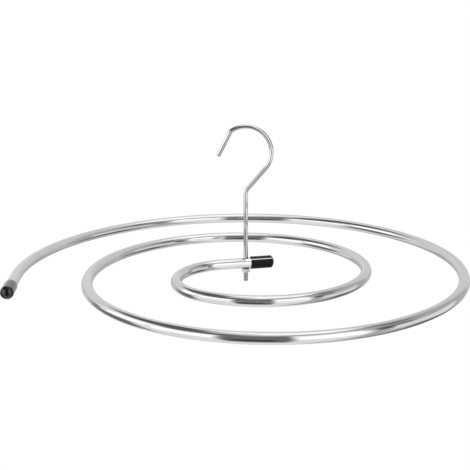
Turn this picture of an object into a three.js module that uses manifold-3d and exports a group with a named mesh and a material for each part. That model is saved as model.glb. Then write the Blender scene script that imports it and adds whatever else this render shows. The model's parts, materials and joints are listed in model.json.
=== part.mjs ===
// Spiral drying rack: one polished steel tube wound in a flat spiral, hung from a swivelling wire hook.
// Millimetres, +Z up. The origin is the inside of the hook's crown, where the rack hangs on a rail.
// +X is to the right and +Y to the rear, so the spiral grows anticlockwise seen from above.

import * as THREE from 'three';
import { mergeVertices } from 'three/addons/utils/BufferGeometryUtils.js';
import Module from 'manifold-3d';

// Spiral tube: lengths in mm, angles in degrees, the pitch in mm of radius gained per turn
const TUBE_DIAMETER = 9.5;
const TUBE_WALL = 0.8;
const TUBE_DROP = 123.75; // hook crown down to the tube's centreline
const TAIL_HEADING = 193; // direction of the straight tail, leaving the hook
const TAIL_STRAIGHT = 22; // hook axis to the start of the inner bend
const INNER_BEND_RADIUS = 49.75;
const INNER_BEND_TURN = 135.5;
const OPENING_BEND_RADIUS = 94.5; // opens the first turn before the spiral starts to grow
const OPENING_BEND_TURN = 138;
const SPIRAL_START_RADIUS = 106;
const SPIRAL_END_RADIUS = 208;
const SPIRAL_SWEEP = 521.5;
const SPIRAL_START_PITCH = 64.5;
const RUNOUT_STRAIGHT = 27.25; // end of the spiral to the lip of the outer cap

// Hook: bent from one wire whose lower end is threaded
const WIRE_DIAMETER = 4;
const EYE_BORE = 42; // room for the rail inside the round eye
const EYE_END = 122; // where the eye's arc ends, measured from +X
const NECK_DROP = 35; // eye centre down to the corner of the neck
const NECK_BEND_RADIUS = 6;
const TIP_BEND_RADIUS = 5;
const TIP_BEND_TURN = 31;
const TIP_LENGTH = 23.5;
const STUD_PROJECTION = 8.75; // threaded end below the nut

// Swivel seat: the tube turns on a hexagon nut below it
const SWIVEL_CLEARANCE = 0.5; // wire to the hole drilled through the tube, all round
const SEAT_GAP = 0.25; // tube to nut
const NUT_ACROSS_FLATS = 7;
const NUT_HEIGHT = 3.2;
const NUT_CHAMFER_ANGLE = 30;
const NUT_TURN = 30; // puts a corner of the hexagon to the front
const THREAD_CLEARANCE = 0.25; // wire to the nut's bore

// Push-on end caps: both ends of the tube take the same cap
const CAP_GRIP = 18.75; // tube length inside the cap
const CAP_WALL = 0.75;
const CAP_CLEARANCE = 0.25; // tube to the cap's bore, all round and at its end
const CAP_END_THICKNESS = 3;
const CAP_DOME_DEPTH = 2.8;
const CAP_LIP_GAP = 0.3; // path of the nut's corners to the inner cap's lip

// Fineness of the facets
const TUBE_SIDES = 16;
const BORE_SIDES = 10;
const WIRE_SIDES = 12;
const LATHE_SIDES = 32;
const SPIRAL_STEP = 6;
const BEND_STEP = 10;
const DOME_STEPS = 4;

const { degToRad, radToDeg } = THREE.MathUtils;
const wasm = await Module();
wasm.setup();

// Draws a flat centreline from stretches that each carry on in the direction the last one ended.
class Pen {
  constructor(position, heading) {
    this.position = position.clone();
    this.heading = heading;
    this.stretches = [];
  }

  static direction(heading) {
    return new THREE.Vector2(Math.cos(degToRad(heading)), Math.sin(degToRad(heading)));
  }

  add(steps, pointAt, headingEnd) {
    this.stretches.push({ steps, pointAt });
    this.position = pointAt(1);
    this.heading = headingEnd;
    return this;
  }

  line(length) {
    const start = this.position;
    const along = Pen.direction(this.heading);
    return this.add(1, (u) => start.clone().addScaledVector(along, u * length), this.heading);
  }

  // A positive turn bends to the left.
  arc(radius, turn) {
    const toStart = this.heading - 90 * Math.sign(turn);
    const centre = this.position.clone().addScaledVector(Pen.direction(toStart), -radius);
    const pointAt = (u) => centre.clone().addScaledVector(Pen.direction(toStart + u * turn), radius);
    return this.add(Math.ceil(Math.abs(turn) / BEND_STEP), pointAt, this.heading + turn);
  }

  // A left-hand spiral whose radius follows a cubic, from a set pitch at its start to none at its end.
  spiral(startRadius, endRadius, sweep, startPitch) {
    const turns = sweep / 360;
    const lean = radToDeg(Math.atan2(startPitch / (2 * Math.PI), startRadius));
    const startAngle = this.heading - 90 + lean;
    const centre = this.position.clone().addScaledVector(Pen.direction(startAngle), -startRadius);
    const radiusAt = (u) =>
      startRadius * (1 + 2 * u) * (1 - u) ** 2 +
      endRadius * (3 - 2 * u) * u ** 2 +
      startPitch * turns * u * (1 - u) ** 2;
    const pointAt = (u) => centre.clone().addScaledVector(Pen.direction(startAngle + u * sweep), radiusAt(u));
    return this.add(Math.ceil(sweep / SPIRAL_STEP), pointAt, startAngle + sweep + 90);
  }
}

// The pen's route as a curve in space. Stations follow each stretch's own steps, so bends get more of them.
class Route extends THREE.Curve {
  constructor(pen, toSpace) {
    super();
    this.stretches = pen.stretches;
    this.toSpace = toSpace;
    this.steps = this.stretches.reduce((sum, stretch) => sum + stretch.steps, 0);
  }

  getUtoTmapping(u) {
    return u;
  }

  getPoint(t) {
    let station = t * this.steps;
    let index = 0;
    while (index < this.stretches.length - 1 && station > this.stretches[index].steps) {
      station -= this.stretches[index].steps;
      index += 1;
    }
    const stretch = this.stretches[index];
    return this.toSpace(stretch.pointAt(station / stretch.steps));
  }
}

function circle(radius, sides) {
  const points = [];
  for (let i = 0; i < sides; i += 1) {
    points.push(Pen.direction((360 * i) / sides).multiplyScalar(radius));
  }
  return points;
}

function sweep(section, route) {
  return new THREE.ExtrudeGeometry(section, { steps: route.steps, extrudePath: route, bevelEnabled: false });
}

function lathe(profile) {
  return new THREE.LatheGeometry(profile.map(([r, z]) => new THREE.Vector2(r, z)), LATHE_SIDES);
}

// A lathe's axis is +Y: this stands it up along +Z.
function upright(geometry) {
  return geometry.rotateX(Math.PI / 2);
}

function toSolid(geometry) {
  const bare = new THREE.BufferGeometry();
  bare.setAttribute('position', geometry.getAttribute('position'));
  bare.setIndex(geometry.getIndex());
  const merged = mergeVertices(bare);
  const corners = merged.getIndex().array;
  const triangles = [];
  for (let i = 0; i < corners.length; i += 3) {
    const [a, b, c] = corners.slice(i, i + 3);
    if (a !== b && b !== c && c !== a) {
      triangles.push(a, b, c);
    }
  }
  const vertProperties = new Float32Array(merged.getAttribute('position').array);
  const mesh = new wasm.Mesh({ numProp: 3, vertProperties, triVerts: new Uint32Array(triangles) });
  return new wasm.Manifold(mesh);
}

function toGeometry(solid) {
  const mesh = solid.getMesh();
  const geometry = new THREE.BufferGeometry();
  geometry.setAttribute('position', new THREE.BufferAttribute(mesh.vertProperties, 3));
  geometry.setIndex(new THREE.BufferAttribute(mesh.triVerts, 1));
  geometry.computeVertexNormals();
  return geometry;
}

// Sizes that follow from the driving dimensions
const tubeRadius = TUBE_DIAMETER / 2;
const wireRadius = WIRE_DIAMETER / 2;
const holeRadius = wireRadius + SWIVEL_CLEARANCE;
const threadBore = wireRadius + THREAD_CLEARANCE;
const nutFlat = NUT_ACROSS_FLATS / 2;
const nutCorner = nutFlat / Math.cos(degToRad(30));
const nutBottom = -tubeRadius - SEAT_GAP - NUT_HEIGHT;
const studEnd = nutBottom - STUD_PROJECTION;
const tailLip = nutCorner + CAP_LIP_GAP;

// The tube runs from its capped tail, past the hook, round two bends and out along the spiral.
function tubePen() {
  const tailEnd = Pen.direction(TAIL_HEADING + 180).multiplyScalar(tailLip + CAP_GRIP);
  return new Pen(tailEnd, TAIL_HEADING)
    .line(tailLip + CAP_GRIP + TAIL_STRAIGHT)
    .arc(INNER_BEND_RADIUS, INNER_BEND_TURN)
    .arc(OPENING_BEND_RADIUS, OPENING_BEND_TURN)
    .spiral(SPIRAL_START_RADIUS, SPIRAL_END_RADIUS, SPIRAL_SWEEP, SPIRAL_START_PITCH)
    .line(RUNOUT_STRAIGHT + CAP_GRIP);
}

// Least clear gap between one turn of the tube and the next, on stations at least half a turn apart.
function leastTurnGap(route) {
  const points = route.getSpacedPoints(route.steps);
  const halfTurn = Math.round(180 / SPIRAL_STEP);
  let least = Infinity;
  points.forEach((point, i) => {
    for (const other of points.slice(i + halfTurn)) {
      least = Math.min(least, point.distanceTo(other) - TUBE_DIAMETER);
    }
  });
  return least;
}

// Hollow tube with the hook's swivel hole drilled straight down through both walls.
function spiralTubeGeometry(route) {
  const section = new THREE.Shape(circle(tubeRadius, TUBE_SIDES));
  section.holes.push(new THREE.Path(circle(tubeRadius - TUBE_WALL, BORE_SIDES)));
  const drill = upright(new THREE.CylinderGeometry(holeRadius, holeRadius, 2 * TUBE_DIAMETER, LATHE_SIDES));
  return toGeometry(toSolid(sweep(section, route)).subtract(toSolid(drill)));
}

// The wire rises through the tube, leans over at the neck, rounds the eye and ends in a flared tip.
function hookGeometry() {
  const eyeRadius = EYE_BORE / 2 + wireRadius;
  const neckTurn = radToDeg(Math.asin(eyeRadius / NECK_DROP));
  const neckSetback = NECK_BEND_RADIUS * Math.tan(degToRad(neckTurn / 2));
  const leanLength = Math.sqrt(NECK_DROP ** 2 - eyeRadius ** 2) - neckSetback;
  const shankBottom = studEnd - TUBE_DROP;
  const neckCorner = -EYE_BORE / 2 - NECK_DROP;
  const pen = new Pen(new THREE.Vector2(0, shankBottom), 90)
    .line(neckCorner - neckSetback - shankBottom)
    .arc(NECK_BEND_RADIUS, -neckTurn)
    .line(leanLength)
    .arc(eyeRadius, EYE_END + neckTurn)
    .arc(TIP_BEND_RADIUS, TIP_BEND_TURN)
    .line(TIP_LENGTH);
  const route = new Route(pen, (p) => new THREE.Vector3(p.x, 0, p.y));
  return sweep(new THREE.Shape(circle(wireRadius, WIRE_SIDES)), route);
}

// A hexagon turned down at both rims, as a chamfered nut is.
function nutGeometry() {
  const chamfer = (nutCorner - nutFlat) * Math.tan(degToRad(NUT_CHAMFER_ANGLE));
  const hexagon = new THREE.Shape(circle(nutCorner, 6));
  const prism = new THREE.ExtrudeGeometry(hexagon, { depth: NUT_HEIGHT, bevelEnabled: false });
  const turned = upright(
    lathe([
      [0, 0],
      [nutFlat, 0],
      [nutCorner, chamfer],
      [nutCorner, NUT_HEIGHT - chamfer],
      [nutFlat, NUT_HEIGHT],
      [0, NUT_HEIGHT],
    ]),
  );
  const bore = upright(new THREE.CylinderGeometry(threadBore, threadBore, 3 * NUT_HEIGHT, LATHE_SIDES));
  return toGeometry(toSolid(prism).intersect(toSolid(turned)).subtract(toSolid(bore)));
}

// Moulded cap along +Y with its lip at 0: an open bore, a plain wall and an end domed as part of a sphere.
function capGeometry() {
  const bore = tubeRadius + CAP_CLEARANCE;
  const outer = bore + CAP_WALL;
  const boreDepth = CAP_GRIP + CAP_CLEARANCE;
  const tip = boreDepth + CAP_END_THICKNESS;
  const domeRadius = (outer ** 2 + CAP_DOME_DEPTH ** 2) / (2 * CAP_DOME_DEPTH);
  const rimAngle = Math.asin(outer / domeRadius);
  const profile = [
    [0, boreDepth],
    [bore, boreDepth],
    [bore, 0],
    [outer, 0],
  ];
  for (let i = DOME_STEPS; i > 0; i -= 1) {
    const angle = (rimAngle * i) / DOME_STEPS;
    profile.push([domeRadius * Math.sin(angle), tip - domeRadius * (1 - Math.cos(angle))]);
  }
  profile.push([0, tip]);
  return lathe(profile);
}

function named(name, geometry, color, roughness, metalness) {
  const mesh = new THREE.Mesh(geometry, new THREE.MeshStandardMaterial({ color, roughness, metalness }));
  mesh.name = name;
  return mesh;
}

// A cap slides on along the tube until its bore has swallowed the grip length.
function capOnEnd(name, tubeEnd, outwardHeading) {
  const cap = named(name, capGeometry(), 0x121212, 0.25, 0);
  const lip = tubeEnd.clone().addScaledVector(Pen.direction(outwardHeading), -CAP_GRIP);
  cap.position.set(lip.x, lip.y, 0);
  cap.rotation.z = degToRad(outwardHeading - 90);
  return cap;
}

const tube = tubePen();
const tubeStart = tube.stretches[0].pointAt(0);
const tubeRoute = new Route(tube, (p) => new THREE.Vector3(p.x, p.y, 0));
console.log(`least gap between turns: ${leastTurnGap(tubeRoute).toFixed(1)} mm`);

const spiral = new THREE.Group();
spiral.position.z = -TUBE_DROP;
spiral.add(named('spiral_tube', spiralTubeGeometry(tubeRoute), 0xd3d4d6, 0.12, 1));
spiral.add(capOnEnd('inner_cap', tubeStart, TAIL_HEADING + 180));
spiral.add(capOnEnd('outer_cap', tube.position, tube.heading));

const nut = named('nut', nutGeometry(), 0xc7c9cc, 0.25, 1);
nut.position.z = nutBottom - TUBE_DROP;
nut.rotation.z = degToRad(NUT_TURN);

const rack = new THREE.Group();
rack.add(named('hook', hookGeometry(), 0xcfd0d2, 0.15, 1), nut, spiral);

export default rack;
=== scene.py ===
# %% [markdown]
# # Dressing a spiral drying rack
#
# The rack is one polished steel tube wound in a flat spiral, hung from a wire hook that swivels in it.
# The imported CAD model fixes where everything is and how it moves. This script builds the fine meshes,
# the finishes, the studio and the camera around that frame, and changes none of its sizes.

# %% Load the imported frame
import json
import math

import bpy
from mathutils import Matrix, Quaternion, Vector


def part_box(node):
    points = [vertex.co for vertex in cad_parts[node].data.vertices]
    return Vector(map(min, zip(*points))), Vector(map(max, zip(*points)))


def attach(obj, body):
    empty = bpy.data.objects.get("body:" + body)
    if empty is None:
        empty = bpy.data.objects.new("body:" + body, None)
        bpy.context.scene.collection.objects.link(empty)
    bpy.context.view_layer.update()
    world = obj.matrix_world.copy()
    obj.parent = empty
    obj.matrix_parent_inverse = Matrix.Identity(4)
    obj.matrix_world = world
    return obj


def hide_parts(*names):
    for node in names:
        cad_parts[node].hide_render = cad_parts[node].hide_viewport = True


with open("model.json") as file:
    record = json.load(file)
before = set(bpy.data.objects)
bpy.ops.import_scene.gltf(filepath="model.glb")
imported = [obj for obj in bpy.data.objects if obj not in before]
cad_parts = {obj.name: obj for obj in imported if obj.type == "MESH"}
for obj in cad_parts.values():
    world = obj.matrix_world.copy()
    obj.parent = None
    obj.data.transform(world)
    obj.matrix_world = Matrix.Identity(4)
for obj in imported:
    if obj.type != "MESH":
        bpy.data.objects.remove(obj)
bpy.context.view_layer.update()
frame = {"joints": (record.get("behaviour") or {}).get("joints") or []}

MM = 0.001
scene = bpy.context.scene
scene.view_settings.view_transform = "Standard"

# %% [markdown]
# ## Camera
#
# The photograph looks down on the hanging rack from straight in front, through a longish lens. A camera
# can be placed by hand, by eye, or by matching points of known size. The tube's own spiral is the best
# ruler here, so the place, aim, roll and lens below are the ones that lay the CAD tube on the photograph.

# %% Camera at the photograph's viewing angle
SENSOR_WIDTH = 36.0  # millimetres
FOCAL_LENGTH = 75.55  # millimetres
CAMERA_PLACE = Vector((0.0, -0.8680, 0.13135))
CAMERA_AIM = Vector((-0.0098, 0.0, -0.0972))
CAMERA_ROLL = math.radians(-0.235)

camera_data = bpy.data.cameras.new("photo_camera")
camera_data.sensor_width = SENSOR_WIDTH
camera_data.lens = FOCAL_LENGTH
camera = bpy.data.objects.new("photo_camera", camera_data)
camera.location = CAMERA_PLACE
camera.rotation_mode = "QUATERNION"
level_view = (CAMERA_AIM - CAMERA_PLACE).to_track_quat("-Z", "Y")
camera.rotation_quaternion = level_view @ Quaternion((0, 0, 1), CAMERA_ROLL)
scene.collection.objects.link(camera)
scene.camera = camera
print("camera distance in mm:", round((CAMERA_AIM - CAMERA_PLACE).length / MM))

# %% [markdown]
# ## Arithmetic that writes nodes
#
# A node tree full of Math nodes is tedious to wire by hand and hard to read. A small class helps: a Field
# stands for one output socket, and adding or multiplying fields puts the matching Math node in the tree.
# The same class works in geometry trees and in material trees.

# %% Fields and node helpers
class Field:
    """A number that flows through a node tree."""

    def __init__(self, tree, socket):
        self.tree = tree
        self.socket = socket

    def math(self, operation, *others, clamp=False):
        node = self.tree.nodes.new("ShaderNodeMath")
        node.operation = operation
        node.use_clamp = clamp
        for socket, value in zip(node.inputs, (self, *others)):
            feed(self.tree, socket, value)
        return Field(self.tree, node.outputs[0])

    def __add__(self, other):
        return self.math("ADD", other)

    def __sub__(self, other):
        return self.math("SUBTRACT", other)

    def __rsub__(self, other):
        return self.math("MULTIPLY_ADD", -1.0, other)

    def __mul__(self, other):
        return self.math("MULTIPLY", other)

    def __truediv__(self, other):
        return self.math("DIVIDE", other)

    def sin(self):
        return self.math("SINE")

    def cos(self):
        return self.math("COSINE")

    def floor(self):
        return self.math("FLOOR")

    def least(self, other):
        return self.math("MINIMUM", other)

    def clamped(self):
        return self.math("ADD", 0.0, clamp=True)


def feed(tree, socket, value):
    """Links a field or socket to an input, or sets the input to a plain value."""
    if isinstance(value, Field):
        tree.links.new(value.socket, socket)
    elif isinstance(value, bpy.types.NodeSocket):
        tree.links.new(value, socket)
    else:
        socket.default_value = value


def add(tree, kind, inputs=None, **settings):
    """Adds a node, with its settings and what its inputs are fed."""
    node = tree.nodes.new(kind)
    for name, value in settings.items():
        setattr(node, name, value)
    for name, value in (inputs or {}).items():
        feed(tree, node.inputs[name], value)
    return node


def combine(tree, x, y, z):
    return add(tree, "ShaderNodeCombineXYZ", {"X": x, "Y": y, "Z": z}).outputs[0]


# %% Geometry trees with named sizes
def geometry_tree(name, sizes):
    """Starts a geometry tree with one named input a size, and gives those inputs as fields."""
    tree = bpy.data.node_groups.new(name, "GeometryNodeTree")
    tree.interface.new_socket("Mesh", in_out="OUTPUT", socket_type="NodeSocketGeometry")
    for label in sizes:
        tree.interface.new_socket(label, in_out="INPUT", socket_type="NodeSocketFloat")
    tree.interface.new_socket("Material", in_out="INPUT", socket_type="NodeSocketMaterial")
    source = tree.nodes.new("NodeGroupInput")
    fields = {label: Field(tree, source.outputs[label]) for label in sizes}
    return tree, fields, source.outputs["Material"]


def close_tree(tree, mesh, material, smooth_below):
    """Ends a tree: edges flatter than an angle are smooth, the copies are real and the finish is set."""
    angle = Field(tree, add(tree, "GeometryNodeInputMeshEdgeAngle").outputs["Unsigned Angle"])
    soft = add(tree, "GeometryNodeSetShadeSmooth", {"Geometry": mesh}, domain="FACE")
    sharp = {"Geometry": soft.outputs[0], "Selection": angle.math("GREATER_THAN", smooth_below)}
    creased = add(tree, "GeometryNodeSetShadeSmooth", {**sharp, "Shade Smooth": False}, domain="EDGE")
    real = add(tree, "GeometryNodeRealizeInstances", {"Geometry": creased.outputs[0]})
    dressed = add(tree, "GeometryNodeSetMaterial", {"Geometry": real.outputs[0], "Material": material})
    add(tree, "NodeGroupOutput", {"Mesh": dressed.outputs[0]})


def grow(name, tree, sizes, material):
    """Runs a tree on an empty mesh and keeps the result as a plain mesh at the origin."""
    piece = bpy.data.objects.new(name, bpy.data.meshes.new(name))
    scene.collection.objects.link(piece)
    modifier = piece.modifiers.new("grow", "NODES")
    modifier.node_group = tree
    values = {**sizes, "Material": material}
    for item in tree.interface.items_tree:
        if item.in_out == "INPUT":
            modifier[item.identifier] = values[item.name]
    depsgraph = bpy.context.evaluated_depsgraph_get()
    mesh = bpy.data.meshes.new_from_object(piece.evaluated_get(depsgraph), depsgraph=depsgraph)
    piece.modifiers.clear()
    piece.data = mesh
    print(name, "has", len(mesh.vertices), "points and", len(mesh.polygons), "faces")
    return piece


# %% [markdown]
# ## A pen that draws with nodes
#
# The tube, the hook and the outline of a cap are all drawn the same way: straight stretches and bends that
# each carry on in the direction the last one ended, as a bending machine works. Each station on the line
# knows only its number. The pen turns that number into a share of every stretch, from 0 before the stretch
# to 1 after it, and adds up how far the stretches have carried the station.

# %% The pen
class Pen:
    """Places numbered stations along a flat line of stretches."""

    def __init__(self, station, across, up, heading):
        self.station = station
        self.across = across
        self.up = up
        self.heading = heading
        self.steps = 0

    def share(self, steps):
        passed = (self.station - self.steps).math("DIVIDE", steps, clamp=True)
        self.steps += steps
        return passed

    def move(self, across, up):
        self.across = self.across + across
        self.up = self.up + up

    def line(self, length, steps=1):
        run = self.share(steps) * length
        self.move(run * self.heading.cos(), run * self.heading.sin())

    def bend(self, radius, turn, steps, left=True):
        """An arc. The turn is positive, to the left or to the right."""
        side = 1.0 if left else -1.0
        facing = self.share(steps) * turn * side + self.heading
        reach = radius * side
        self.move((facing.sin() - self.heading.sin()) * reach, (self.heading.cos() - facing.cos()) * reach)
        self.heading = self.heading + turn * side

    def spiral(self, start, end, sweep, pitch, steps):
        """A left-hand spiral whose radius follows a cubic, from a set pitch to a plain circle."""
        turns = sweep / math.tau
        lean = (pitch / math.tau).math("ARCTAN2", start)
        first = self.heading - math.pi / 2 + lean
        u = self.share(steps)
        rest = 1.0 - u
        radius = (u * 2.0 + 1.0) * rest * rest * start
        radius = radius + (3.0 - u * 2.0) * u * u * end
        radius = radius + pitch * turns * u * rest * rest
        angle = u * sweep + first
        self.move(radius * angle.cos() - start * first.cos(), radius * angle.sin() - start * first.sin())
        self.heading = first + sweep + math.pi / 2


# %% [markdown]
# ## Sizes
#
# Lengths are real ones in metres, the same as in the CAD model. What the frame can tell is read from it:
# the tube lies at the height of the swivel, and the nut and the hook are where their boxes are.

# %% Sizes shared by the pieces
swivel = Vector(frame["joints"][0]["pos_m"])
nut_low, nut_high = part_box("nut")
hook_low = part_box("hook")[0]

TUBE_DIAMETER = 9.5 * MM
WIRE_DIAMETER = 4.0 * MM
SWIVEL_HOLE = 5.0 * MM
TAIL_HEADING = math.radians(193)
NUT_ACROSS_FLATS = 7.0 * MM
THREAD_LENGTH = 14 * MM
THREAD_PITCH = 0.7 * MM
CAP_GRIP = 18.75 * MM
CAP_LIP_GAP = 0.3 * MM
nut_corner = NUT_ACROSS_FLATS / 2 / math.cos(math.radians(30))
tail_lip = nut_corner + CAP_LIP_GAP
print("tube centreline at", round(swivel.z / MM, 2), "mm, stud end at", round(hook_low.z / MM, 2), "mm")

# %% [markdown]
# ## Finishes that several materials share
#
# Bright steel is never quite even. Drawing and polishing leave hair-fine lines along the work, and hands
# leave soft marks where the rack is held. Both effects are used by more than one material, so each is a
# node group with named inputs. A group only puts out masks. What they do to colour, roughness and relief
# is decided in each material.

# %% Shader groups for polishing lines and handling marks
LINE_NOISE_RANGE = (0.3, 0.7)
MARK_NOISE_RANGE = (0.42, 0.72)


def shader_group(name, inputs, output):
    """Starts a group with named inputs and one mask as its output."""
    group = bpy.data.node_groups.new(name, "ShaderNodeTree")
    for label, kind in inputs.items():
        group.interface.new_socket(label, in_out="INPUT", socket_type=kind)
    group.interface.new_socket(output, in_out="OUTPUT", socket_type="NodeSocketFloat")
    source = group.nodes.new("NodeGroupInput")
    return group, source.outputs


def mask_between(tree, value, low, high):
    """A soft step from 0 at the low value to 1 at the high one."""
    settings = {"Value": value, "From Min": low, "From Max": high}
    return add(tree, "ShaderNodeMapRange", settings, interpolation_type="SMOOTHSTEP").outputs[0]


def polishing_lines_group():
    """Lines that run along X of the coordinates it is given."""
    inputs = {"Vector": "NodeSocketVector", "Length": "NodeSocketFloat", "Spacing": "NodeSocketFloat"}
    group, given = shader_group("Polishing lines", inputs, "Lines")
    axes = add(group, "ShaderNodeSeparateXYZ", {"Vector": given["Vector"]})
    along = Field(group, axes.outputs["X"]) / given["Length"]
    across = Field(group, axes.outputs["Y"]) / given["Spacing"]
    over = Field(group, axes.outputs["Z"]) / given["Spacing"]
    place = combine(group, along, across, over)
    settings = {"Vector": place, "Scale": 1.0, "Detail": 3.0, "Roughness": 0.6}
    noise = add(group, "ShaderNodeTexNoise", settings)
    add(group, "NodeGroupOutput", {"Lines": mask_between(group, noise.outputs[0], *LINE_NOISE_RANGE)})
    return group


def handling_marks_group():
    """Soft blots of a given size with a broken edge."""
    inputs = {"Vector": "NodeSocketVector", "Size": "NodeSocketFloat"}
    group, given = shader_group("Handling marks", inputs, "Marks")
    scale = add(group, "ShaderNodeMath", {0: 1.0, 1: given["Size"]}, operation="DIVIDE").outputs[0]
    noise = add(
        group,
        "ShaderNodeTexNoise",
        {"Vector": given["Vector"], "Scale": scale, "Detail": 4.0, "Roughness": 0.55, "Distortion": 0.6},
    )
    add(group, "NodeGroupOutput", {"Marks": mask_between(group, noise.outputs[0], *MARK_NOISE_RANGE)})
    return group


polishing_lines = polishing_lines_group()
handling_marks = handling_marks_group()
print("shader groups:", polishing_lines.name, "and", handling_marks.name)

# %% [markdown]
# ## Bright steel
#
# Polished stainless reflects about two thirds of the light and is nearly neutral. The lines follow the
# tube round its bends, so they can't be drawn on plain Object coordinates. The geometry trees store where
# each point would be if the tube were straight, in an attribute named straight, and the lines run along it.

# %% Steel materials
LINE_HAZE = 0.4  # share of the haze that comes with the lines
MARK_HAZE = 0.6  # share that comes with the marks


def material_with_shader(name):
    material = bpy.data.materials.new(name)
    material.use_nodes = True
    return material, material.node_tree, material.node_tree.nodes["Principled BSDF"]


def place_group(tree, group, inputs):
    node = add(tree, "ShaderNodeGroup", node_tree=group)
    for label, value in inputs.items():
        feed(tree, node.inputs[label], value)
    return Field(tree, node.outputs[0])


def mixed_colour(tree, mask, low, high):
    """Mixes two colours. The numbers are the sockets that a Mix node uses for colours."""
    mix = add(tree, "ShaderNodeMix", data_type="RGBA")
    feed(tree, mix.inputs[0], mask)
    feed(tree, mix.inputs[6], low)
    feed(tree, mix.inputs[7], high)
    return mix.outputs[2]


def steel(name, bright, dull, gloss, haze, line_length, line_spacing, line_depth, mark_size):
    """Steel whose colour and roughness run between two values with its lines and marks."""
    material, tree, shader = material_with_shader(name)
    straight = add(tree, "ShaderNodeAttribute", attribute_name="straight").outputs["Vector"]
    place = add(tree, "ShaderNodeTexCoord").outputs["Object"]
    lines = place_group(
        tree, polishing_lines, {"Vector": straight, "Length": line_length, "Spacing": line_spacing}
    )
    marks = place_group(tree, handling_marks, {"Vector": place, "Size": mark_size})
    relief = add(tree, "ShaderNodeBump", {"Height": lines, "Strength": 1.0, "Distance": line_depth})
    shader.inputs["Metallic"].default_value = 1.0
    feed(tree, shader.inputs["Base Color"], mixed_colour(tree, marks, (*bright, 1.0), (*dull, 1.0)))
    feed(tree, shader.inputs["Roughness"], (lines * LINE_HAZE + marks * MARK_HAZE) * (haze - gloss) + gloss)
    feed(tree, shader.inputs["Normal"], relief.outputs[0])
    return material


tube_steel = steel(
    "polished_tube_steel",
    bright=(0.70, 0.70, 0.705),
    dull=(0.66, 0.66, 0.66),
    gloss=0.02,
    haze=0.06,
    line_length=60 * MM,
    line_spacing=0.5 * MM,
    line_depth=0.001 * MM,
    mark_size=30 * MM,
)
hook_steel = steel(
    "drawn_wire_steel",
    bright=(0.68, 0.68, 0.69),
    dull=(0.62, 0.62, 0.625),
    gloss=0.05,
    haze=0.10,
    line_length=25 * MM,
    line_spacing=0.35 * MM,
    line_depth=0.0003 * MM,
    mark_size=12 * MM,
)
nut_steel = steel(
    "turned_nut_steel",
    bright=(0.66, 0.66, 0.66),
    dull=(0.54, 0.54, 0.54),
    gloss=0.32,
    haze=0.46,
    line_length=4 * MM,
    line_spacing=0.2 * MM,
    line_depth=0.004 * MM,
    mark_size=3 * MM,
)


def grey_thread(material, top, groove_shade_grey, roughness):
    """Greys the steel below a height with painted shade for the thread's grooves, and roughens it where a
    die cut the thread and nobody polished it.
    """
    tree = material.node_tree
    shader = tree.nodes["Principled BSDF"]
    place = add(tree, "ShaderNodeTexCoord").outputs["Object"]
    height = add(tree, "ShaderNodeSeparateXYZ", {"Vector": place}).outputs["Z"]
    cut = Field(tree, mask_between(tree, height, top + THREAD_PITCH, top))
    bright = shader.inputs["Base Color"].links[0].from_socket
    # The grey mixed in here is painted shade for the grooves of the thread.
    feed(tree, shader.inputs["Base Color"], mixed_colour(tree, cut, bright, (groove_shade_grey, groove_shade_grey, groove_shade_grey, 1.0)))
    polished = Field(tree, shader.inputs["Roughness"].links[0].from_socket)
    feed(tree, shader.inputs["Roughness"], polished + (roughness - polished) * cut)


# Painted shade: the stud below the thread's top is greyed for the shade in its grooves. It is also made
# rougher, because the cut is unpolished.
grey_thread(hook_steel, hook_low.z + THREAD_LENGTH, groove_shade_grey=0.53, roughness=0.34)
print("steels:", [m.name for m in (tube_steel, hook_steel, nut_steel)])

# %% [markdown]
# ## Glossy black plastic
#
# The end caps are soft plastic with a wet-looking skin. Black plastic shows almost nothing but reflections,
# so what matters is its gloss: a very fine moulded grain breaks it, and a few rubbed marks dull it. Hands
# turn the rack by the cap at the hook and rub its sides. A crest along the top of that cap, the domes and
# the whole outer cap keep the shine of the mould, which is a clear coat here.

# %% Cap material
DOME_BLEND = 0.4 * MM
FAR_BLEND = 20 * MM
CREST_EDGE = 1.3 * MM
CREST_CORE = 0.5 * MM
RUBBED_SPECULAR = 0.13


def cap_plastic(
    name, black, rubbed, gloss, haze, grain_size, grain_depth, mark_size, dome_start, far_side, crest_height
):
    """Black plastic that shines on its dome, past the far side and along a crest, and is rubbed dull."""
    material, tree, shader = material_with_shader(name)
    place = add(tree, "ShaderNodeTexCoord").outputs["Object"]
    straight = add(tree, "ShaderNodeAttribute", attribute_name="straight").outputs["Vector"]
    along = add(tree, "ShaderNodeSeparateXYZ", {"Vector": straight}).outputs["X"]
    axes = add(tree, "ShaderNodeSeparateXYZ", {"Vector": place}).outputs
    dome = Field(tree, mask_between(tree, along, dome_start - DOME_BLEND, dome_start + DOME_BLEND))
    far = mask_between(tree, axes["X"], far_side + FAR_BLEND, far_side)
    off_crest = (Field(tree, axes["Z"]) - crest_height).math("ABSOLUTE")
    crest = Field(tree, mask_between(tree, off_crest, CREST_EDGE, CREST_CORE))
    marks = place_group(tree, handling_marks, {"Vector": place, "Size": mark_size})
    grain = add(tree, "ShaderNodeTexNoise", {"Vector": place, "Scale": 1.0 / grain_size, "Detail": 2.0})
    relief = add(tree, "ShaderNodeBump", {"Height": grain.outputs[0], "Distance": grain_depth})
    feed(tree, shader.inputs["Base Color"], mixed_colour(tree, marks, (*black, 1.0), (*rubbed, 1.0)))
    feed(tree, shader.inputs["Roughness"], marks * (haze - gloss) + gloss)
    feed(tree, shader.inputs["Coat Weight"], dome.math("MAXIMUM", far).math("MAXIMUM", crest))
    feed(tree, shader.inputs["Normal"], relief.outputs[0])
    shader.inputs["Specular IOR Level"].default_value = RUBBED_SPECULAR
    return material


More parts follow.
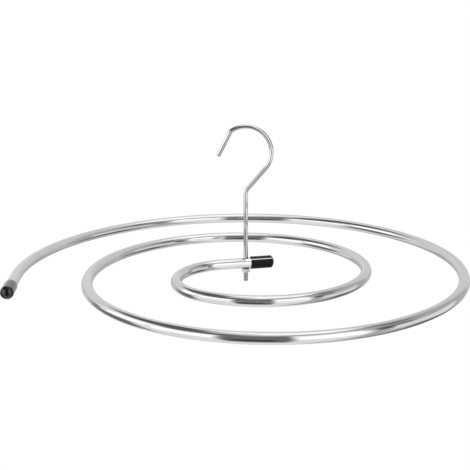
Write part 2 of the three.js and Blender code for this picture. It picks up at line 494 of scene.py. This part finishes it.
cap_pvc = cap_plastic(
    "glossy_black_plastic",
    black=(0.0015, 0.0015, 0.0015),
    rubbed=(0.004, 0.004, 0.004),
    gloss=0.05,
    haze=0.12,
    grain_size=0.8 * MM,
    grain_depth=0.002 * MM,
    mark_size=6 * MM,
    dome_start=20.5 * MM,
    far_side=-150 * MM,
    crest_height=swivel.z + 4.1 * MM,
)
print("plastic:", cap_pvc.name)

# %% [markdown]
# ## The spiral tube
#
# This is the main piece: a straight tail under the hook, a tight bend and a wider one, a turn and a half
# that grows and a straight end. It could be a Bezier curve with handles set by eye, but a bender works by
# rule, and a rule keeps the turns even. The tree draws the route with the pen, sweeps a circle along it for
# the outside and a smaller one for the bore, and drills the hole for the hook through both walls.

# %% Sweeps that remember the straight tube
TUBE_SIDES = 64
BORE_SIDES = 32


def route_curve(tree, steps, place):
    """A curve with one point a station, each moved to its place."""
    line = add(tree, "GeometryNodeCurvePrimitiveLine")
    stations = add(tree, "GeometryNodeResampleCurve", {"Curve": line.outputs[0], "Count": steps + 1})
    moved = add(tree, "GeometryNodeSetPosition", {"Geometry": stations.outputs[0], "Position": place})
    return moved.outputs[0]


def sweep(tree, route, radius, sides, scale=1.0):
    """Sweeps a circle along a route and stores each point's place on the straight rod."""
    ring = add(tree, "GeometryNodeCurvePrimitiveCircle", {"Resolution": sides, "Radius": radius})
    section = add(tree, "GeometryNodeCaptureAttribute", domain="POINT")
    section.capture_items.new("VECTOR", "section")
    feed(tree, section.inputs[0], ring.outputs[0])
    feed(tree, section.inputs["section"], add(tree, "GeometryNodeInputPosition").outputs[0])
    length = add(tree, "GeometryNodeCaptureAttribute", domain="POINT")
    length.capture_items.new("FLOAT", "length")
    feed(tree, length.inputs[0], route)
    feed(tree, length.inputs["length"], add(tree, "GeometryNodeSplineParameter").outputs["Length"])
    inputs = {"Curve": length.outputs[0], "Profile Curve": section.outputs[0]}
    rod = add(tree, "GeometryNodeCurveToMesh", {**inputs, "Scale": scale, "Fill Caps": True})
    axes = add(tree, "ShaderNodeSeparateXYZ", {"Vector": section.outputs["section"]})
    straight = combine(tree, length.outputs["length"], axes.outputs["X"], axes.outputs["Y"])
    stored = {"Geometry": rod.outputs[0], "Name": "straight"}
    kept = add(tree, "GeometryNodeStoreNamedAttribute", stored, data_type="FLOAT_VECTOR", domain="POINT")
    feed(tree, kept.inputs["Value"], straight)
    return kept.outputs[0]


# %% The tube's tree
TUBE_SIZES = {
    "Diameter": TUBE_DIAMETER,
    "Wall": 0.8 * MM,
    "Height": swivel.z,
    "Tail heading": TAIL_HEADING,
    "Tail behind hook": tail_lip + CAP_GRIP,
    "Tail before hook": 22 * MM,
    "Inner bend radius": 49.75 * MM,
    "Inner bend turn": math.radians(135.5),
    "Opening bend radius": 94.5 * MM,
    "Opening bend turn": math.radians(138),
    "Start radius": 106 * MM,
    "End radius": 208 * MM,
    "Sweep": math.radians(521.5),
    "Start pitch": 64.5 * MM,
    "Run-out": 27.25 * MM + CAP_GRIP,
    "Hole": SWIVEL_HOLE,
}
TAIL_STEPS = 24
INNER_BEND_STEPS = 54
OPENING_BEND_STEPS = 82
SPIRAL_STEPS = 348
RUNOUT_STEPS = 6
TUBE_CREASE = math.radians(40)


def spiral_tube_tree():
    tree, size, material = geometry_tree("Spiral tube", TUBE_SIZES)
    station = Field(tree, add(tree, "GeometryNodeInputIndex").outputs[0])
    heading = size["Tail heading"]
    behind = size["Tail behind hook"]
    pen = Pen(station, heading.cos() * behind * -1.0, heading.sin() * behind * -1.0, heading)
    pen.line(behind + size["Tail before hook"], TAIL_STEPS)
    pen.bend(size["Inner bend radius"], size["Inner bend turn"], INNER_BEND_STEPS)
    pen.bend(size["Opening bend radius"], size["Opening bend turn"], OPENING_BEND_STEPS)
    pen.spiral(size["Start radius"], size["End radius"], size["Sweep"], size["Start pitch"], SPIRAL_STEPS)
    pen.line(size["Run-out"], RUNOUT_STEPS)
    route = route_curve(tree, pen.steps, combine(tree, pen.across, pen.up, size["Height"]))
    upright = add(tree, "GeometryNodeSetCurveNormal", {"Curve": route}, mode="Z_UP").outputs[0]
    outside = sweep(tree, upright, size["Diameter"] / 2.0, TUBE_SIDES)
    bore = sweep(tree, upright, size["Diameter"] / 2.0 - size["Wall"], BORE_SIDES)
    cylinder = {"Vertices": TUBE_SIDES, "Radius": size["Hole"] / 2.0, "Depth": size["Diameter"] * 2.0}
    drill = add(tree, "GeometryNodeMeshCylinder", cylinder).outputs[0]
    at_swivel = combine(tree, 0.0, 0.0, size["Height"])
    placed = add(tree, "GeometryNodeTransform", {"Geometry": drill, "Translation": at_swivel})
    carve = {"operation": "DIFFERENCE", "solver": "MANIFOLD"}
    cut = add(tree, "GeometryNodeMeshBoolean", {"Mesh 1": outside}, **carve)
    for tool in (bore, placed.outputs[0]):
        tree.links.new(tool, cut.inputs["Mesh 2"])
    close_tree(tree, cut.outputs[0], material, TUBE_CREASE)
    return tree


tube = grow("polished_spiral_tube", spiral_tube_tree(), TUBE_SIZES, tube_steel)

# %% [markdown]
# ## The wire hook
#
# One length of wire: a threaded stud, a straight shank up through the tube, a lean to one side, the round
# eye that goes over the rail and a flared tip. The same pen draws it standing up. The thread is a rule too:
# a ridge that climbs one pitch a turn, cut into the wire by moving each point towards the axis.

# %% The hook's tree
EYE_BORE = 42 * MM
NECK_DROP = 35 * MM
NECK_BEND = 6 * MM
eye_radius = EYE_BORE / 2 + WIRE_DIAMETER / 2
neck_turn = math.asin(eye_radius / NECK_DROP)
neck_setback = NECK_BEND * math.tan(neck_turn / 2)
HOOK_SIZES = {
    "Diameter": WIRE_DIAMETER,
    "Stud end": hook_low.z,
    "Thread length": THREAD_LENGTH,
    "Thread pitch": THREAD_PITCH,
    "Thread depth": 0.22 * MM,
    "End chamfer": 0.5 * MM,
    "Neck corner": -EYE_BORE / 2 - NECK_DROP,
    "Neck setback": neck_setback,
    "Neck radius": NECK_BEND,
    "Neck turn": neck_turn,
    "Lean": math.sqrt(NECK_DROP**2 - eye_radius**2) - neck_setback,
    "Eye radius": eye_radius,
    "Eye turn": math.radians(122) + neck_turn,
    "Tip radius": 5 * MM,
    "Tip turn": math.radians(31),
    "Tip length": 23.5 * MM,
    "Tip rounding": 0.9 * MM,
}
WIRE_SIDES = 40
THREAD_STEPS = 200
NECK_STEPS = 14
EYE_STEPS = 66
TIP_BEND_STEPS = 8
TIP_ROUND_STEPS = 6
WIRE_CREASE = math.radians(50)
RIDGE_SLOPE = 3.2  # of the thread's flanks, whose ridge and root are cut flat
RIDGE_ROOT = 0.1


def cut_thread(tree, rod, size):
    """Moves the points of the shank's lower end inwards, except along a ridge that climbs round it."""
    axes = add(tree, "ShaderNodeSeparateXYZ", {"Vector": add(tree, "GeometryNodeInputPosition").outputs[0]})
    x, y, z = (Field(tree, axis) for axis in axes.outputs)
    radius = size["Diameter"] / 2.0
    rise = z - size["Stud end"]
    phase = rise / size["Thread pitch"] - y.math("ARCTAN2", x) / math.tau
    ridge = (phase.math("PINGPONG", 0.5) * RIDGE_SLOPE - RIDGE_ROOT).clamped()
    fade = ((size["Thread length"] - rise) / size["Thread pitch"]).clamped()
    cut = 1.0 - (1.0 - ridge) * fade * size["Thread depth"] / radius
    chamfer = (rise + radius - size["End chamfer"]) / radius
    scale = cut.least(chamfer).least(1.0)
    place = combine(tree, x * scale, y * scale, z)
    return add(tree, "GeometryNodeSetPosition", {"Geometry": rod, "Position": place}).outputs[0]


def wire_hook_tree():
    tree, size, material = geometry_tree("Wire hook", HOOK_SIZES)
    station = Field(tree, add(tree, "GeometryNodeInputIndex").outputs[0])
    upwards = station * 0.0 + math.pi / 2
    pen = Pen(station, station * 0.0, size["Stud end"], upwards)
    pen.line(size["Thread length"], THREAD_STEPS)
    pen.line(size["Neck corner"] - size["Neck setback"] - size["Stud end"] - size["Thread length"])
    pen.bend(size["Neck radius"], size["Neck turn"], NECK_STEPS, left=False)
    pen.line(size["Lean"])
    pen.bend(size["Eye radius"], size["Eye turn"], EYE_STEPS)
    pen.bend(size["Tip radius"], size["Tip turn"], TIP_BEND_STEPS)
    pen.line(size["Tip length"] - size["Tip rounding"])
    nose = pen.share(TIP_ROUND_STEPS) * (math.pi / 2)
    pen.move(*(nose.sin() * size["Tip rounding"] * way for way in (pen.heading.cos(), pen.heading.sin())))
    narrowing = (1.0 - nose.cos()) * size["Tip rounding"] / (size["Diameter"] / 2.0)
    route = route_curve(tree, pen.steps, combine(tree, pen.across, 0.0, pen.up))
    rod = sweep(tree, route, size["Diameter"] / 2.0, WIRE_SIDES, scale=1.0 - narrowing)
    close_tree(tree, cut_thread(tree, rod, size), material, WIRE_CREASE)
    return tree


hook = grow("bent_wire_hook", wire_hook_tree(), HOOK_SIZES, hook_steel)

# %% [markdown]
# ## Turned pieces
#
# The nut and the caps are turned about an axis. A grid makes a good lathe: one side of it counts the rings
# along the outline, the other counts the steps round the axis, and a rule puts each point on its ring. The
# seam where the grid meets itself is merged, so the mesh is closed.

# %% A lathe made from a grid
SEAM_GAP = 0.002 * MM


def lathe_grid(tree, rings, sides):
    """A grid, with each point's ring number and its angle round the axis."""
    grid = add(tree, "GeometryNodeMeshGrid", {"Vertices X": sides + 1, "Vertices Y": rings})
    index = Field(tree, add(tree, "GeometryNodeInputIndex").outputs[0])
    column = ((index + 0.5) / rings).floor()
    return grid.outputs[0], index - column * rings, column * (math.tau / sides)


def weld(tree, mesh, place, straight):
    """Moves the grid's points, stores what the finish needs and merges the seam."""
    moved = add(tree, "GeometryNodeSetPosition", {"Geometry": mesh, "Position": place})
    stored = {"Geometry": moved.outputs[0], "Name": "straight"}
    kept = add(tree, "GeometryNodeStoreNamedAttribute", stored, data_type="FLOAT_VECTOR", domain="POINT")
    feed(tree, kept.inputs["Value"], straight)
    merged = add(tree, "GeometryNodeMergeByDistance", {"Geometry": kept.outputs[0], "Distance": SEAM_GAP})
    return merged.outputs[0]


# %% [markdown]
# ## The hexagon nut
#
# A nut is a hexagon whose corners were turned off on a lathe, which leaves the curved chamfer lines that
# make a nut look like a nut. Each ring of the lathe stands at the hexagon's own radius for its angle, and
# the chamfer's height follows from how far that radius stands out past the flats.

# %% The nut's tree
NUT_SIZES = {
    "Across flats": NUT_ACROSS_FLATS,
    "Bottom": nut_low.z,
    "Height": nut_high.z - nut_low.z,
    "Bore": 4.2 * MM,
    "Countersink": 0.3 * MM,
    "Chamfer": math.radians(30),
}
NUT_SIDES = 96
NUT_RINGS = 9  # points of the outline that is turned
NUT_CREASE = math.radians(20)
NUT_EDGE = 0.1 * MM
NUT_EDGE_STEPS = 3
NUT_EDGE_ANGLE = math.radians(25)


def hexagon_nut_tree():
    tree, size, material = geometry_tree("Hexagon nut", NUT_SIZES)
    bore = size["Bore"] / 2.0
    flat = size["Across flats"] / 2.0
    sink = size["Countersink"]
    top = size["Height"]
    zero = top * 0.0
    grid, ring, angle = lathe_grid(tree, NUT_RINGS, NUT_SIDES)
    corner = flat / angle.math("WRAP", math.pi / 6, -math.pi / 6).cos()
    turned = (corner - flat) * size["Chamfer"].math("TANGENT")
    outline = [
        (bore, sink),
        (bore + sink, zero),
        (flat, zero),
        (corner, turned),
        (corner, top - turned),
        (flat, top),
        (bore + sink, top),
        (bore, top - sink),
        (bore, sink),
    ]
    picks = []
    for values in zip(*outline):
        switch = add(tree, "GeometryNodeIndexSwitch", data_type="FLOAT")
        for _ in range(NUT_RINGS - len(switch.index_switch_items)):
            switch.index_switch_items.new()
        feed(tree, switch.inputs["Index"], ring)
        for number, value in enumerate(values):
            feed(tree, switch.inputs[str(number)], value)
        picks.append(Field(tree, switch.outputs[0]))
    radius, height = picks
    across, deep = radius * angle.cos(), radius * angle.sin()
    place = combine(tree, across, deep, height + size["Bottom"])
    mesh = weld(tree, grid, place, combine(tree, height, across, deep))
    close_tree(tree, mesh, material, NUT_CREASE)
    return tree


nut = grow("hexagon_nut", hexagon_nut_tree(), NUT_SIZES, nut_steel)
soft_edges = nut.modifiers.new("soft edges", "BEVEL")
soft_edges.width = NUT_EDGE
soft_edges.segments = NUT_EDGE_STEPS
soft_edges.limit_method = "ANGLE"
soft_edges.angle_limit = NUT_EDGE_ANGLE
print("nut height in mm:", round(NUT_SIZES["Height"] / MM, 2))

# %% [markdown]
# ## The end caps
#
# Both ends of the tube take the same push-on cap, moulded in soft plastic: an open bore, a rolled lip, a
# plain wall, a rounded shoulder and an end that is part of a sphere. One tree draws the outline with the
# pen and turns it. It runs twice, with its own place and heading for either end of the tube.

# %% The cap's tree
CAP_CLEARANCE = 0.25 * MM
CAP_WALL = 0.75 * MM
CAP_END = 3.0 * MM
CAP_BORE = TUBE_DIAMETER / 2 + CAP_CLEARANCE
CAP_RADIUS = CAP_BORE + CAP_WALL
CAP_BORE_DEPTH = CAP_GRIP + CAP_CLEARANCE
CAP_LENGTH = CAP_BORE_DEPTH + CAP_END
CAP_DOME_DEPTH = 2.8 * MM
CAP_SHOULDER = 0.5 * MM
CAP_LIP = 0.3 * MM
dome_radius = (CAP_RADIUS**2 + CAP_DOME_DEPTH**2) / (2 * CAP_DOME_DEPTH)
dome_angle = math.asin((CAP_RADIUS - CAP_SHOULDER) / (dome_radius - CAP_SHOULDER))
dome_rise = CAP_SHOULDER * math.cos(dome_angle) + dome_radius * (1 - math.cos(dome_angle))
CAP_SIZES = {
    "Lip X": 0.0,
    "Lip Y": 0.0,
    "Height": swivel.z,
    "Heading": 0.0,
    "Bore": CAP_BORE,
    "Bore depth": CAP_BORE_DEPTH,
    "Radius": CAP_RADIUS,
    "Lip": CAP_LIP,
    "Wall length": CAP_LENGTH - CAP_LIP - dome_rise,
    "Shoulder": CAP_SHOULDER,
    "Dome radius": dome_radius,
    "Dome angle": dome_angle,
}
CAP_SIDES = 96
LIP_STEPS = 5
SHOULDER_STEPS = 5
DOME_STEPS = 14
WALL_STEPS = 4
CAP_CREASE = math.radians(40)


def end_cap_tree():
    tree, size, material = geometry_tree("End cap", CAP_SIZES)
    quarter = math.pi / 2
    rings = 1 + 1 + WALL_STEPS + LIP_STEPS + 1 + LIP_STEPS + WALL_STEPS + SHOULDER_STEPS + DOME_STEPS
    grid, ring, angle = lathe_grid(tree, rings, CAP_SIDES)
    lip = size["Lip"]
    pen = Pen(ring, ring * 0.0, size["Bore depth"], ring * 0.0)
    pen.line(size["Bore"])
    pen.heading = pen.heading - quarter
    pen.line(size["Bore depth"] - lip, WALL_STEPS)
    pen.bend(lip, quarter, LIP_STEPS)
    pen.line(size["Radius"] - size["Bore"] - lip * 2.0)
    pen.bend(lip, quarter, LIP_STEPS)
    pen.line(size["Wall length"], WALL_STEPS)
    pen.bend(size["Shoulder"], quarter - size["Dome angle"], SHOULDER_STEPS)
    pen.bend(size["Dome radius"], size["Dome angle"], DOME_STEPS)
    sideways = pen.across * angle.cos()
    upwards = pen.across * angle.sin()
    ahead, aside = size["Heading"].cos(), size["Heading"].sin()
    place = combine(
        tree,
        size["Lip X"] + ahead * pen.up - aside * sideways,
        size["Lip Y"] + aside * pen.up + ahead * sideways,
        size["Height"] + upwards,
    )
    mesh = weld(tree, grid, place, combine(tree, pen.up, sideways, upwards))
    close_tree(tree, mesh, material, CAP_CREASE)
    return tree


# %% One cap on either end of the tube
RIM_DEPTH = 0.05 * MM  # how near the very end a point of the rim is


def cap_on_end(name, node, heading):
    """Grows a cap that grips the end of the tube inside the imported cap's box."""
    low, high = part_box(node)
    way = Vector((math.cos(heading), math.sin(heading), 0.0))
    gripped = [v.co for v in tube.data.vertices if all(low[i] < v.co[i] < high[i] for i in range(3))]
    reach = max(point.dot(way) for point in gripped)
    rim = [point for point in gripped if reach - point.dot(way) < RIM_DEPTH]
    lip = sum(rim, Vector()) / len(rim) - way * CAP_GRIP
    return grow(name, cap_tree, {**CAP_SIZES, "Lip X": lip.x, "Lip Y": lip.y, "Heading": heading}, cap_pvc)


cap_tree = end_cap_tree()
spiral_lean = math.atan2(TUBE_SIZES["Start pitch"] / math.tau, TUBE_SIZES["Start radius"])
turns_made = [TUBE_SIZES[part] for part in ("Inner bend turn", "Opening bend turn", "Sweep")]
outer_heading = TAIL_HEADING + sum(turns_made) + spiral_lean
inner_cap = cap_on_end("inner_end_cap", "inner_cap", TAIL_HEADING + math.pi)
outer_cap = cap_on_end("outer_end_cap", "outer_cap", outer_heading)
print("outer cap heads", round(math.degrees(outer_heading) % 360, 1), "degrees")

# %% [markdown]
# ## The studio
#
# A mirror-bright tube is made of whatever stands round it. In a product studio that is a pale floor, white
# panels and a few dark flags that draw the edges of the metal. Here each panel or flag is a bent card that
# stands well away from the rack and is set out by the degrees it spans as the rack sees it: 0 is towards
# the camera, and positive degrees are to its right. The cards are the backdrop that the metal mirrors, and
# the camera doesn't see them. One small strip lamp over the cap at the hook draws the highlight on it.

# %% Pale floor and white surround
FLOOR_DROP = 1.6  # metres below the rail
FLOOR_REACH = 30.0  # metres each way
SURROUND_LIGHT = 0.8  # share of the surround's light that falls on what isn't a mirror


def seen_or_mirrored(tree):
    """1 for rays from the camera, and for those that reach it by a mirror or through glass."""
    rays = add(tree, "ShaderNodeLightPath")
    names = ("Is Camera Ray", "Is Glossy Ray", "Is Transmission Ray")
    seen, mirrored, through = (Field(tree, rays.outputs[name]) for name in names)
    return seen.math("MAXIMUM", mirrored).math("MAXIMUM", through)


def pale_floor():
    """A floor that lights the rack as pale paint does, and is seen as white."""
    mesh = bpy.data.meshes.new("floor")
    signs = ((-1, -1), (1, -1), (1, 1), (-1, 1))
    corners = [(x * FLOOR_REACH, y * FLOOR_REACH, -FLOOR_DROP) for x, y in signs]
    mesh.from_pydata(corners, [], [(0, 1, 2, 3)])
    floor = bpy.data.objects.new("floor", mesh)
    scene.collection.objects.link(floor)
    material, tree, shader = material_with_shader("pale_floor")
    shader.inputs["Base Color"].default_value = (0.9, 0.9, 0.9, 1.0)
    shader.inputs["Roughness"].default_value = 0.9
    glow = add(tree, "ShaderNodeEmission", {"Color": (1.0, 1.0, 1.0, 1.0), "Strength": 1.0})
    sides = {1: shader.outputs[0], 2: glow.outputs[0]}
    mix = add(tree, "ShaderNodeMixShader", {0: seen_or_mirrored(tree), **sides})
    feed(tree, tree.nodes["Material Output"].inputs["Surface"], mix.outputs[0])
    mesh.materials.append(material)


def white_surround():
    """A world that is seen as white, and lights what isn't a mirror a little less."""
    world = bpy.data.worlds.new("white_surround")
    world.use_nodes = True
    tree = world.node_tree
    strength = seen_or_mirrored(tree) * (1.0 - SURROUND_LIGHT) + SURROUND_LIGHT
    feed(tree, tree.nodes["Background"].inputs["Strength"], strength)
    tree.nodes["Background"].inputs["Color"].default_value = (1.0, 1.0, 1.0, 1.0)
    scene.world = world


pale_floor()
white_surround()
print("floor is", FLOOR_DROP, "m below the rail")

# %% Panels and flags
CARD_COLUMNS = 40
CARD_ROWS = 24
ZENITH = 90

# Each card has its sides and heights in degrees, how bright it is, how many degrees its edge takes to fade
# and how far away it stands in metres. A nearer card hides what is behind it.
CARDS = [
    ("front_core", (-24, 8), (-40, 0), 0.08, 9, 1.22),
    ("front_gap", (-30, 17), (-54, 50), 0.20, 8, 1.24),
    ("upper_front_left_flag", (-70, -14), (24, 64), 0.16, 12, 1.26),
    ("upper_left_flag", (-150, -44), (31, 80), 0.13, 14, 1.28),
    ("front_upper_flag", (-44, 58), (38, 72), 0.50, 14, 1.30),
    ("front_left_panel", (-68, -24), (-18, 27), 1.6, 8, 1.32),
    ("left_panel", (-104, -65), (-4, 33), 1.6, 8, 1.34),
    ("lower_left_flag", (-124, -64), (-56, 0), 0.18, 14, 0.60),
    ("right_edge_flag", (48, 60), (-3, 24), 0.15, 4, 0.58),
    ("right_upper_flag", (52, 76), (8, 31), 0.25, 5, 0.60),
    ("right_high_flag", (64, 98), (31, 60), 0.20, 7, 0.605),
    ("right_low_panel", (55, 106), (-25, 12), 0.98, 6, 0.62),
    ("right_lower_flag", (78, 134), (-64, -22), 0.18, 8, 0.61),
    ("right_flat", (43, 126), (-80, 62), 0.54, 7, 0.64),
    ("front_right_panel", (2, 64), (-20, 40), 1.5, 10, 1.38),
    ("back_low_flat", (136, 224), (-56, -6), 0.52, 9, 1.42),
    ("back_low_right_flat", (98, 150), (-70, 6), 0.64, 16, 1.44),
    ("back_left_flat", (-190, -106), (-70, 60), 0.84, 16, 1.46),
    ("back_right_flat", (100, 192), (-64, 62), 0.76, 14, 1.48),
    ("overhead_panel", (-20, 230), (56, 90), 1.4, 12, 1.50),
]


def card_point(sides, heights, softness, across, up):
    """The way to a point of a card, and its share of the light. An edge at the zenith doesn't fade."""
    turn = sides[0] + (sides[1] - sides[0]) * across
    rise = heights[0] + (heights[1] - heights[0]) * up
    azimuth, elevation = math.radians(turn), math.radians(rise)
    level = math.cos(elevation)
    way = Vector((math.sin(azimuth) * level, -math.cos(azimuth) * level, math.sin(elevation)))
    edges = [turn - sides[0], sides[1] - turn, rise - heights[0]]
    if heights[1] < ZENITH:
        edges.append(heights[1] - rise)
    inset = min(1.0, min(edges) / softness)
    return way, inset * inset * (3.0 - 2.0 * inset)


def card_material(name, brightness):
    """Light on the side that faces the rack, the back of the mesh. It fades to clear at the edges."""
    material, tree, shader = material_with_shader(name)
    tree.nodes.remove(shader)
    fade = Field(tree, add(tree, "ShaderNodeAttribute", attribute_name="fade").outputs["Fac"])
    inside = add(tree, "ShaderNodeNewGeometry").outputs["Backfacing"]
    light = add(tree, "ShaderNodeEmission", {"Strength": brightness})
    clear = add(tree, "ShaderNodeBsdfTransparent")
    mix = add(tree, "ShaderNodeMixShader", {0: fade * inside, 1: clear.outputs[0], 2: light.outputs[0]})
    feed(tree, tree.nodes["Material Output"].inputs["Surface"], mix.outputs[0])
    return material


def studio_card(name, sides, heights, brightness, softness, distance):
    """A card bent round the swivel, as bright as it looks from there."""
    points, fades, faces = [], [], []
    for row in range(CARD_ROWS + 1):
        for column in range(CARD_COLUMNS + 1):
            way, fade = card_point(sides, heights, softness, column / CARD_COLUMNS, row / CARD_ROWS)
            points.append(swivel + way * distance)
            fades.append(fade)
    across = CARD_COLUMNS + 1
    for row in range(CARD_ROWS):
        for column in range(CARD_COLUMNS):
            first = row * across + column
            faces.append((first, first + 1, first + across + 1, first + across))
    mesh = bpy.data.meshes.new(name)
    mesh.from_pydata(points, [], faces)
    mesh.attributes.new("fade", "FLOAT", "POINT").data.foreach_set("value", fades)
    mesh.materials.append(card_material(name, brightness))
    panel = bpy.data.objects.new(name, mesh)
    scene.collection.objects.link(panel)
    panel.visible_camera = False


for card in CARDS:
    studio_card(*card)
print("studio cards:", len(CARDS))

# %% A strip lamp over the cap at the hook
STRIP_LENGTH = 30 * MM
STRIP_WIDTH = 3.8 * MM
STRIP_ALONG = 19.8 * MM  # from the swivel towards the end of the cap
STRIP_FORWARD = 9.4 * MM
STRIP_RISE = 23.4 * MM
STRIP_TILT = math.radians(74.7)
STRIP_BRIGHTNESS = 22.0
STRIP_REACH = 26 * MM


def cap_strip_lamp():
    """A lamp along the cap. It lights nothing past its reach, so the turns of the tube don't mirror it."""
    along = Vector((-math.cos(TAIL_HEADING), -math.sin(TAIL_HEADING), 0.0))
    forward = Vector((along.y, -along.x, 0.0))
    upright = Vector((0.0, 0.0, 1.0))
    back = forward * math.cos(STRIP_TILT) + upright * math.sin(STRIP_TILT)
    data = bpy.data.lights.new("cap_strip", "AREA")
    data.shape = "RECTANGLE"
    data.size = STRIP_LENGTH
    data.size_y = STRIP_WIDTH
    data.energy = STRIP_BRIGHTNESS * math.pi * STRIP_LENGTH * STRIP_WIDTH
    data.use_nodes = True
    tree = data.node_tree
    distance = Field(tree, add(tree, "ShaderNodeLightPath").outputs["Ray Length"])
    feed(tree, tree.nodes["Emission"].inputs["Strength"], distance.math("LESS_THAN", STRIP_REACH))
    lamp = bpy.data.objects.new("cap_strip", data)
    lamp.rotation_mode = "QUATERNION"
    lamp.rotation_quaternion = Matrix((along, back.cross(along), back)).transposed().to_quaternion()
    lamp.location = swivel + along * STRIP_ALONG + forward * STRIP_FORWARD + upright * STRIP_RISE
    lamp.visible_camera = False
    scene.collection.objects.link(lamp)


cap_strip_lamp()
print("strip lamp reaches", round(STRIP_REACH / MM), "mm")

# %% [markdown]
# ## Fasten the pieces to the frame
#
# Each piece stands for one node of the CAD model and rides on that node's body, and the imported node is
# hidden.
# The table also names each piece's material slot in the record, which the loop doesn't use. The finish was
# set when the piece was grown. The hook and its nut stay with the rail. The tube and its caps turn.

# %% Bodies, nodes and slots
DRESSED = [
    (hook, "hook", "hook", "hook_steel"),
    (nut, "hook", "nut", "nut_steel"),
    (tube, "spiral", "spiral_tube", "tube_steel"),
    (inner_cap, "spiral", "inner_cap", "cap_pvc"),
    (outer_cap, "spiral", "outer_cap", "cap_pvc"),
]
for piece, body, node, slot in DRESSED:
    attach(piece, body)
    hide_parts(node)
    print(piece.name, "replaces", node, "on", body)
